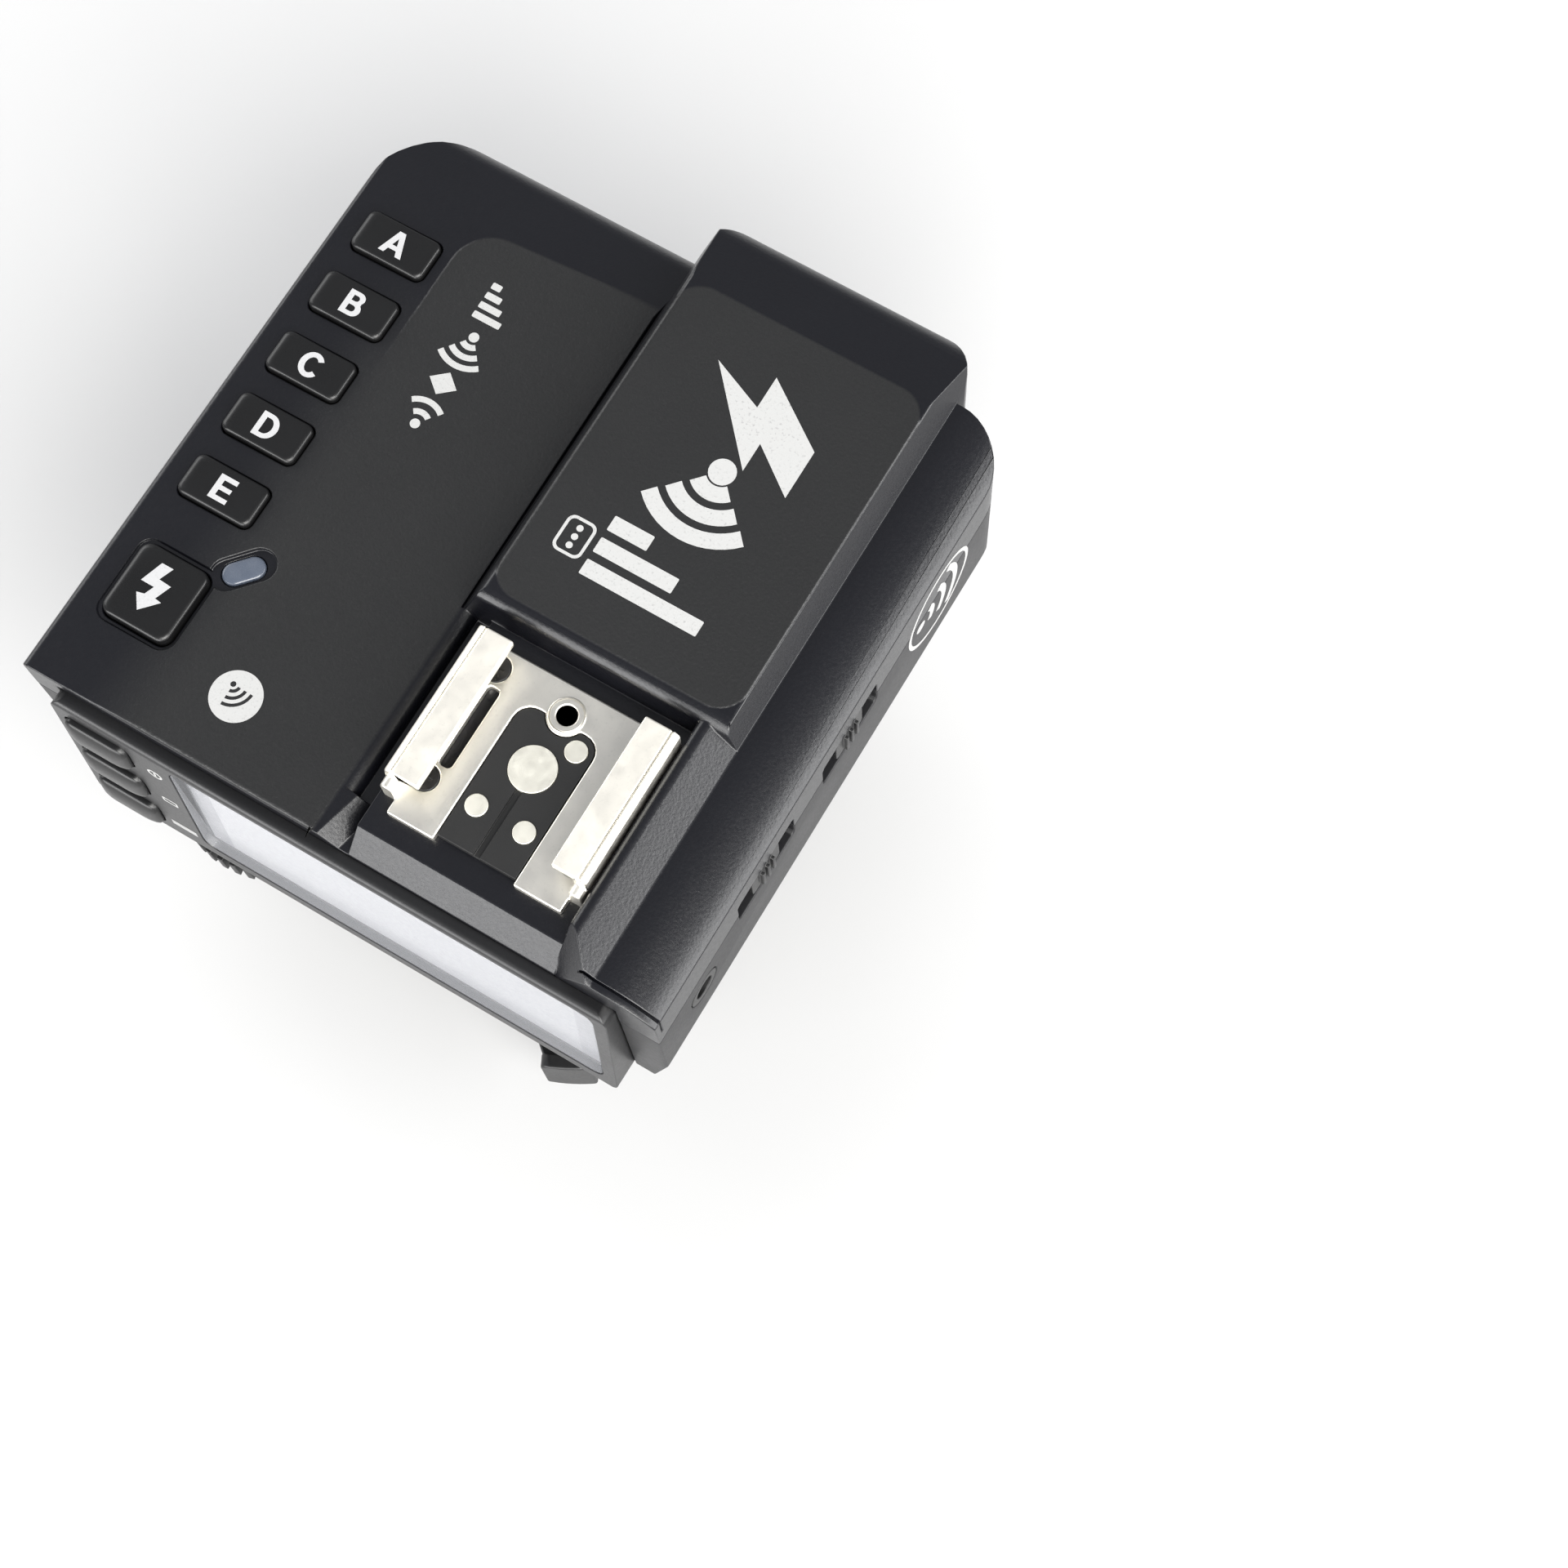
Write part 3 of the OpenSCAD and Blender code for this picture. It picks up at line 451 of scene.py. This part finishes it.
def round_edges(obj, width_mm):
    """Welds the split corners, rounds the sharp edges and evens the shading.

    A wide bevel closes the openings of a thin frame, so such pieces get a narrow one.
    """
    first = obj.modifiers.new("even", "NODES")
    first.node_group = EVEN
    weld = obj.modifiers.new("weld", "WELD")
    weld.merge_threshold = 1e-6
    flat = obj.modifiers.new("flat", "DECIMATE")
    flat.decimate_type = "DISSOLVE"
    flat.angle_limit = math.radians(0.2)
    bevel = obj.modifiers.new("bevel", "BEVEL")
    bevel.width = width_mm * MM
    bevel.segments = 3
    bevel.limit_method = "ANGLE"
    bevel.angle_limit = math.radians(30)
    bevel.use_clamp_overlap = False
    normal = obj.modifiers.new("normal", "WEIGHTED_NORMAL")
    normal.weight = 80


# width of the rounded edges, in millimetres
ROUNDED = {
    "top_cover": 0.14, "bottom_case": 0.2, "battery_door": 0.15, "display_bezel": 0.1,
    "shoe_plate": 0.2, "shoe_insulator": 0.05, "shoe_contacts": 0.06, "select_wheel": 0.1,
    "lock_lever": 0.25, "foot_block": 0.2, "foot_plate": 0.06, "lever_collar": 0.08,
    "power_switch_knob": 0.1, "af_switch_knob": 0.1, "sync_jack": 0.1, "usb_port": 0.05,
    "foot_screws": 0.04, "case_screws": 0.05, "shoe_screws": 0.04, "lock_pin": 0.15,
}
for name, width in ROUNDED.items():
    round_edges(NODES[name], width)


# ---------------------------------------------------------------- mesh helpers

def new_piece(name, verts, faces, material, body, matrix=None):
    """A smooth mesh made of points in millimetres, riding on a body."""
    mesh = bpy.data.meshes.new(name)
    mesh.from_pydata([Vector(v) * MM for v in verts], [], faces)
    mesh.materials.append(material)
    mesh.validate()
    mesh.update()
    if matrix is not None:
        mesh.transform(matrix)
    obj = bpy.data.objects.new(name, mesh)
    bpy.context.scene.collection.objects.link(obj)
    for face in mesh.polygons:
        face.use_smooth = True
    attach(obj, body)
    return obj


def arc(cx, cy, rx, ry, start, end, n):
    """Points on an ellipse arc of n steps, angles in degrees."""
    steps = [math.radians(start + (end - start) * i / n) for i in range(n + 1)]
    return [(cx + rx * math.cos(a), cy + ry * math.sin(a)) for a in steps]


def round_box(x0, y0, x1, y1, r, n=6):
    """Outline of a box with rounded corners of n steps each."""
    return (arc(x0 + r, y0 + r, r, r, 180, 270, n) + arc(x1 - r, y0 + r, r, r, 270, 360, n)
            + arc(x1 - r, y1 - r, r, r, 0, 90, n) + arc(x0 + r, y1 - r, r, r, 90, 180, n))


def loft(rings):
    """Faces between closed rings of equal length, capped at both ends."""
    count = len(rings[0])
    verts = [p for ring in rings for p in ring]
    faces = [list(reversed(range(count)))]
    for i in range(len(rings) - 1):
        a, b = i * count, (i + 1) * count
        faces += [[a + k, a + (k + 1) % count, b + (k + 1) % count, b + k] for k in range(count)]
    faces.append(list(range((len(rings) - 1) * count, len(rings) * count)))
    return verts, faces


PRINT_THICK = 0.02
PRINT_GAP = 0.004


def flat_shapes(name, loops, material, body, matrix):
    """A thin print made of closed outlines in millimetres; an outline inside another is a hole."""
    curve = bpy.data.curves.new(name, "CURVE")
    curve.dimensions = "2D"
    curve.fill_mode = "BOTH"
    curve.extrude = PRINT_THICK / 2 * MM
    for loop in loops:
        spline = curve.splines.new("POLY")
        spline.points.add(len(loop) - 1)
        for point, (x, y) in zip(spline.points, loop):
            point.co = (x * MM, y * MM, 0, 1)
        spline.use_cyclic_u = True
    source = bpy.data.objects.new(name + "_outline", curve)
    bpy.context.scene.collection.objects.link(source)
    bpy.context.view_layer.update()
    mesh = bpy.data.meshes.new_from_object(source.evaluated_get(bpy.context.evaluated_depsgraph_get()))
    bpy.data.objects.remove(source)
    mesh.materials.clear()
    mesh.materials.append(material)
    mesh.transform(matrix @ Matrix.Translation((0, 0, (PRINT_THICK / 2 + PRINT_GAP) * MM)))
    mesh.name = name
    obj = bpy.data.objects.new(name, mesh)
    bpy.context.scene.collection.objects.link(obj)
    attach(obj, body)
    return obj


def on_plane(origin, right, up):
    """Matrix whose x and y run along right and up, from an origin in millimetres."""
    x, y = Vector(right).normalized(), Vector(up).normalized()
    z = x.cross(y)
    m = Matrix((x, y, z)).transposed().to_4x4()
    m.translation = Vector(origin) * MM
    return m


def turned(x, y, degrees):
    c = math.cos(math.radians(degrees))
    s = math.sin(math.radians(degrees))
    return c * x - s * y, s * x + c * y


def moved(loops, dx, dy, scale=1.0, turn=0.0):
    """Outlines turned, scaled and then moved."""
    out = []
    for loop in loops:
        points = [turned(x, y, turn) for x, y in loop]
        out.append([(dx + scale * x, dy + scale * y) for x, y in points])
    return out


def stroke(points, width):
    """Outline of a band of even width along a line of points."""
    left, right = [], []
    for i, (x, y) in enumerate(points):
        x0, y0 = points[max(i - 1, 0)]
        x1, y1 = points[min(i + 1, len(points) - 1)]
        length = math.hypot(x1 - x0, y1 - y0)
        nx = -(y1 - y0) / length * width / 2
        ny = (x1 - x0) / length * width / 2
        left.append((x + nx, y + ny))
        right.append((x - nx, y - ny))
    return left + right[::-1]


# ---------------------------------------------------------------- keys

def corners(node):
    """Lowest and highest corner of a CAD node, in millimetres."""
    low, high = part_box(node)
    return [v / MM for v in low], [v / MM for v in high]


def deck_key(node, body, radius):
    """Key cap with a dished top, rolled edges and the flange that keeps it under the deck.

    Its left side is rolled more broadly than the others. Gives the middle of its top.
    """
    low, high = corners(node)
    flange = 0.5
    x0, y0 = low[0] + flange, low[1] + flange
    x1, y1 = high[0] - flange, high[1] - flange
    top = high[2]

    def ring(inset, z, r):
        left = inset
        if 0 < inset < 0.6:
            left = inset * 1.9
        elif inset >= 0.6:
            left = inset + 0.5
        return [(x, y, z) for x, y in round_box(x0 + left, y0 + inset, x1 - inset, y1 - inset, r)]

    flange_top = low[2] + 0.62
    rings = [ring(-flange, low[2], radius + 0.3), ring(-flange, flange_top, radius + 0.3),
             ring(0.0, flange_top + 0.02, radius)]
    for inset, depth in ((0.0, 0.5), (0.02, 0.36), (0.07, 0.23), (0.15, 0.13), (0.25, 0.06), (0.36, 0.02),
                         (0.46, 0.004), (0.56, 0.0)):
        rings.append(ring(inset, top - depth, radius))
    rings += [ring(0.9, top - 0.005, radius * 0.8), ring(1.3, top - 0.014, radius * 0.6)]
    verts, faces = loft(rings)
    piece = new_piece(node + "_cap", verts, faces, KEY, body)
    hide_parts(node)
    return ((x0 + x1) / 2, (y0 + y1) / 2, top)


def letter_shapes():
    """Bold generic capitals, one unit high, each with its width."""
    a = [[(0, 0), (0.24, 0), (0.32, 0.22), (0.66, 0.22), (0.74, 0), (0.98, 0), (0.62, 1), (0.36, 1)],
         [(0.385, 0.40), (0.595, 0.40), (0.49, 0.72)]]
    b = [[(0, 0), *arc(0.46, 0.29, 0.32, 0.29, -90, 50, 9), *arc(0.42, 0.755, 0.29, 0.245, -35, 90, 9),
          (0, 1)],
         [(0.22, 0.17), *arc(0.42, 0.30, 0.13, 0.13, -90, 90, 7), (0.22, 0.43)],
         [(0.22, 0.60), *arc(0.39, 0.715, 0.115, 0.115, -90, 90, 7), (0.22, 0.83)]]
    c = [arc(0.47, 0.5, 0.47, 0.52, 36, 324, 24) + arc(0.47, 0.5, 0.235, 0.325, 320, 40, 18)]
    d = [[(0, 0), *arc(0.38, 0.5, 0.47, 0.5, -90, 90, 14), (0, 1)],
         [(0.22, 0.18), *arc(0.37, 0.5, 0.25, 0.32, -90, 90, 12), (0.22, 0.82)]]
    e = [[(0, 0), (0.76, 0), (0.76, 0.185), (0.23, 0.185), (0.23, 0.415), (0.7, 0.415), (0.7, 0.595),
          (0.23, 0.595), (0.23, 0.815), (0.75, 0.815), (0.75, 1), (0, 1)]]
    return {"a": (a, 0.98), "b": (b, 0.78), "c": (c, 0.92), "d": (d, 0.85), "e": (e, 0.76)}


LETTER_HEIGHT = 2.65
for key, (loops, width) in letter_shapes().items():
    body = "button_" + key
    cx, cy, top = deck_key(body, body, 0.8)
    shape = moved(loops, -width / 2 * LETTER_HEIGHT, -0.5 * LETTER_HEIGHT, LETTER_HEIGHT)
    # the prints sit in the dish of the key
    place = on_plane((cx + 0.1, cy, top - 0.006), RIGHT, FORWARD)
    flat_shapes("letter_" + key, shape, KEY_INK, body, place)

FLASH_ARROW = [(-0.7, 2.3), (0.6, 2.3), (0.0, 0.8), (1.4, 0.7), (0.75, -1.0), (1.5, -1.1), (-0.1, -2.8),
               (-1.2, -1.3), (-0.4, -1.1), (0.0, -0.1), (-1.5, -0.1)]
cx, cy, top = deck_key("test_button", "test_button", 1.1)
place = on_plane((cx, cy, top - 0.012), RIGHT, FORWARD)
flat_shapes("test_bolt", moved([FLASH_ARROW], -0.25, 0.4), KEY_INK, "test_button", place)


def lamp_lens():
    """Capsule light guide beside the test button, with a softly domed top."""
    low, high = corners("status_lens")
    cx = (low[0] + high[0]) / 2
    cy = (low[1] + high[1]) / 2
    top = high[2]
    half_length = 0.95
    rings = []
    for inset, z in ((0, low[2]), (0, top - 0.35), (0.03, top - 0.2), (0.12, top - 0.09), (0.28, top - 0.03),
                     (0.5, top - 0.005), (0.8, top)):
        r = 1.2 - inset
        capsule = arc(half_length, 0, r, r, -90, 90, 14) + arc(-half_length, 0, r, r, 90, 270, 14)
        rings.append([(x, y, z) for x, y in moved([capsule], cx, cy, turn=48)[0]])
    verts, faces = loft(rings)
    piece = new_piece("lamp_lens", verts, faces, LENS, "casing")
    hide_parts("status_lens")


lamp_lens()


# ---------------------------------------------------------------- prints on the cover

def wave_mark(radius, band, reach, arcs=3):
    """A dot with arcs spreading from it, along +x."""
    loops = [arc(0, 0, band * 0.85, band * 0.85, 0, 345, 23)]
    for i in range(arcs):
        r = radius * (i + 1) / arcs
        loops.append(stroke(arc(0, 0, r, r, -reach, reach, 14), band))
    return loops


def bars_mark(length, height, count=4, fill=0.62):
    """Rising signal bars along +x."""
    pitch = length / count
    lowest = 0.34
    bars = []
    for i in range(count):
        top = height * (lowest + (1 - lowest) * i / (count - 1))
        bars.append(round_box(i * pitch, 0, (i + fill) * pitch, top, 0.12, 3))
    return bars


def ring_mark(outer, inner, n):
    """A round frame: a disc with a smaller one cut out."""
    gap = 360 / (n + 1)
    return [arc(0, 0, r, r, 0, 360 - gap, n) for r in (outer, inner)]


# small row of marks on the deck: bars, waves, a lozenge, waves
row = bars_mark(4.6, 3.1)
row += moved(wave_mark(3.4, 0.62, 40), 6.0, 1.5)
row += [[(10.3, 1.55), (11.6, 3.1), (12.9, 1.55), (11.6, 0.0)]]
row += moved(wave_mark(2.6, 0.6, 40, 2), 16.5, 1.5, turn=180)
flat_shapes("deck_marks", row, WHITE_INK, "casing", on_plane((-30.5, 40.7, DECK_Z), BACKWARD, RIGHT))

# white disc with a wave symbol cut out of it
disc = [arc(0, 0, 2.6, 2.6, 0, 354, 59)]
disc += moved(wave_mark(2.1, 0.34, 44, 3), -0.9, -0.9, turn=45)
flat_shapes("radio_disc", disc, WHITE_INK, "casing", on_plane((-28.3, -7.5, DECK_Z), BACKWARD, RIGHT))

# large emblem on the block: bolt, waves and bars
PLAIN_BOLT = [(0.56, 1.0), (0.98, 1.0), (0.70, 0.62), (0.95, 0.62), (0.27, 0.0), (0.46, 0.45),
              (0.18, 0.45)]
emblem_place = on_plane((-5.8, 44.0, BLOCK_Z), BACKWARD, RIGHT)
flat_shapes("block_bolt", moved([PLAIN_BOLT], -1.9, 0.1, 12.7), WHITE_INK, "casing", emblem_place)
flat_shapes("block_waves", moved(wave_mark(7.0, 1.6, 46), 11.2, 6.4), WHITE_INK, "casing", emblem_place)
flat_shapes("block_bars", moved(bars_mark(7.4, 12.6, 3, 0.66), 19.9, 0.1), WHITE_INK, "casing", emblem_place)
# small rounded frame with three dots beside it
box_mark = [round_box(-1.95, -1.55, 1.95, 1.55, 0.8), round_box(-1.65, -1.25, 1.65, 1.25, 0.55)]
box_mark += [arc(x, 0, 0.34, 0.34, 0, 345, 15) for x in (-0.95, 0, 0.95)]
flat_shapes("block_box", box_mark, WHITE_INK, "casing", on_plane((-7.9, 20.4, BLOCK_Z), BACKWARD, RIGHT))

# emblem on the right wall
side = ring_mark(5.7, 5.2, 59)
side += moved(wave_mark(6.6, 0.9, 40), -3.4, 0)
flat_shapes("side_emblem", side, WHITE_INK, "casing", on_plane((22.0, 36.3, 45.0), FORWARD, UP))


def display_point(x, above_middle):
    """A point on the leaning face of the bezel, in millimetres."""
    return (x, DISPLAY_MIDDLE[0] + above_middle * math.sin(TILT),
            DISPLAY_MIDDLE[1] + above_middle * math.cos(TILT))


# icons on the bezel, beside the menu keys: a ring with a bar, a frame, three lines
ICONS = [
    [*ring_mark(0.85, 0.6, 23), round_box(-0.12, -0.45, 0.12, 0.45, 0.05, 2)],
    [round_box(-0.9, -0.55, 0.9, 0.55, 0.2, 3), round_box(-0.68, -0.33, 0.68, 0.33, 0.1, 3)],
    [round_box(-1.5, low, 1.5, low + 0.25, 0.05, 2) for low in (0.25, -0.12, -0.5)],
]
for i, loops in enumerate(ICONS):
    place = on_plane(display_point(-33.2, MENU_TOP - MENU_PITCH * i), RIGHT, DISPLAY_UP)
    flat_shapes(f"menu_icon_{i + 1}", loops, WHITE_INK, "casing", place)


# ---------------------------------------------------------------- menu keys

def menu_key(i):
    """Bar key with a crowned face and rolled ends, standing out of the bezel."""
    node = f"menu_button_{i + 1}"
    half_width, half_height = 3.6, 2.3
    rings = []
    for out, inset, r in ((-1.6, 0.0, 1.1), (0.25, 0.0, 1.1), (0.45, 0.08, 1.1), (0.62, 0.3, 1.1),
                          (0.76, 0.62, 1.05), (0.87, 1.0, 0.95), (0.95, 1.45, 0.7), (0.985, 1.85, 0.4)):
        x, z = half_width - inset, half_height - inset
        outline = round_box(-x, -z, x, z, r)
        rings.append([(x, -out, z) for x, z in reversed(outline)])
    verts, faces = loft(rings)
    place = on_plane(display_point(-39.6, MENU_TOP - MENU_PITCH * i), RIGHT, DISPLAY_INWARD)
    piece = new_piece(f"menu_key_{i + 1}", verts, faces, KEY, node, place)
    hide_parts(node)


for i in range(3):
    menu_key(i)


# ---------------------------------------------------------------- floor, light and camera

def floor():
    """Pale sweep that the lock pin just clears."""
    s = Shader("pale_floor")
    s.paint(s.mix(s.noise(60.0, 2.0), (0.44, 0.44, 0.44), (0.46, 0.46, 0.46)))
    s.set(roughness=0.75, specular=0.2)
    mesh = bpy.data.meshes.new("floor")
    half = 3.0
    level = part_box("lock_pin")[0].z - 0.0001
    corner_points = [(-half, -half, level), (half, -half, level), (half, half, level), (-half, half, level)]
    mesh.from_pydata(corner_points, [], [(0, 1, 2, 3)])
    mesh.materials.append(s.material)
    obj = bpy.data.objects.new("floor", mesh)
    bpy.context.scene.collection.objects.link(obj)


LIGHT_AIM = (0, 0, 0.04)


def softbox(name, place, size, power, colour=(1, 1, 1)):
    """Area light in watts at a place in metres, turned to the object."""
    light = bpy.data.lights.new(name, "AREA")
    light.shape = "RECTANGLE"
    light.size, light.size_y = size
    light.energy = power
    light.color = colour
    obj = bpy.data.objects.new(name, light)
    bpy.context.scene.collection.objects.link(obj)
    obj.location = place
    obj.rotation_euler = (Vector(LIGHT_AIM) - Vector(place)).to_track_quat("-Z", "Y").to_euler()
    return obj


floor()
softbox("right_rear", (0.66, -0.50, 0.76), (0.8, 0.8), 23.0, (1.0, 0.99, 0.965))
softbox("right_low", (1.0, 0.28, 0.34), (1.2, 0.55), 16.0)
softbox("rear_low", (-0.15, -1.05, 0.30), (1.4, 0.55), 18.0)
softbox("left_side", (-1.0, 0.2, 0.40), (0.8, 0.5), 4.0)
fill = softbox("left_front", (-0.75, 0.85, 0.95), (1.3, 1.3), 16.0)
fill.visible_glossy = False

world = bpy.data.worlds.new("studio")
bpy.context.scene.world = world
world.use_nodes = True
sky = world.node_tree.nodes["Background"]
sky.inputs["Color"].default_value = (0.93, 0.95, 1.0, 1)
sky.inputs["Strength"].default_value = 0.42

camera = bpy.data.cameras.new("camera")
camera.lens = 64.341
camera.sensor_width = 36.0
camera.clip_start = 0.005
view = bpy.data.objects.new("camera", camera)
bpy.context.scene.collection.objects.link(view)
view.location = (0.06702, -0.05247, 0.2965)
view.rotation_euler = [math.radians(a) for a in (17.789, 1.85, 30.77)]
bpy.context.scene.camera = view
bpy.context.scene.view_settings.view_transform = "Standard"
